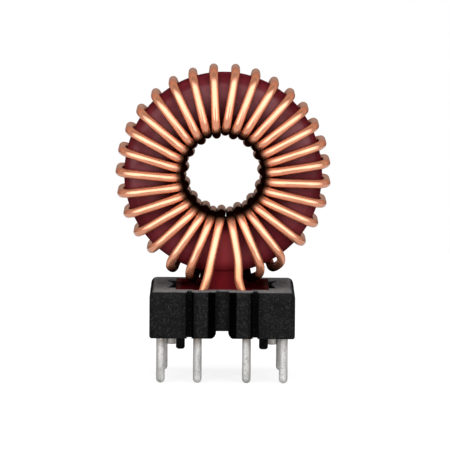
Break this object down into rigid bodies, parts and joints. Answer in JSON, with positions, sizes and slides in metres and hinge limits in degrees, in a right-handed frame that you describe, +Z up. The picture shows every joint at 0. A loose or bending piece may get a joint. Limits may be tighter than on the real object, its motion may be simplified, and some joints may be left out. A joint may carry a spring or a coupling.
{
  "type": "toroidal inductor",
  "caption": "Vertical toroidal inductor: ring core wound with thick enamelled copper wire, bonded upright into a black moulded pin header.",
  "frame": {"origin": "centre of the header's footprint, at the level of the pin tips", "axes": "+Z up from the pins to the ring, +Y from the side with four pins to the side with two, along the ring's axis"},
  "size_m": [0.0222, 0.014, 0.0326],
  "materials": {
    "header_moulding": "matte black moulded plastic",
    "core_coating": "satin dark red epoxy coating over the core",
    "bonding_resin": "glossy dark red resin",
    "enamelled_copper": "clear enamelled copper wire",
    "tinned_pin": "tinned, slightly dull"
  },
  "bodies": {
    "root": {"header": "header_moulding", "core": "core_coating", "resin": "bonding_resin", "winding_left": "enamelled_copper", "winding_right": "enamelled_copper", "pin_front_left_outer": "tinned_pin", "pin_front_left_inner": "tinned_pin", "pin_front_right_inner": "tinned_pin", "pin_front_right_outer": "tinned_pin", "pin_back_left": "tinned_pin", "pin_back_right": "tinned_pin"}
  },
  "joints": []
}
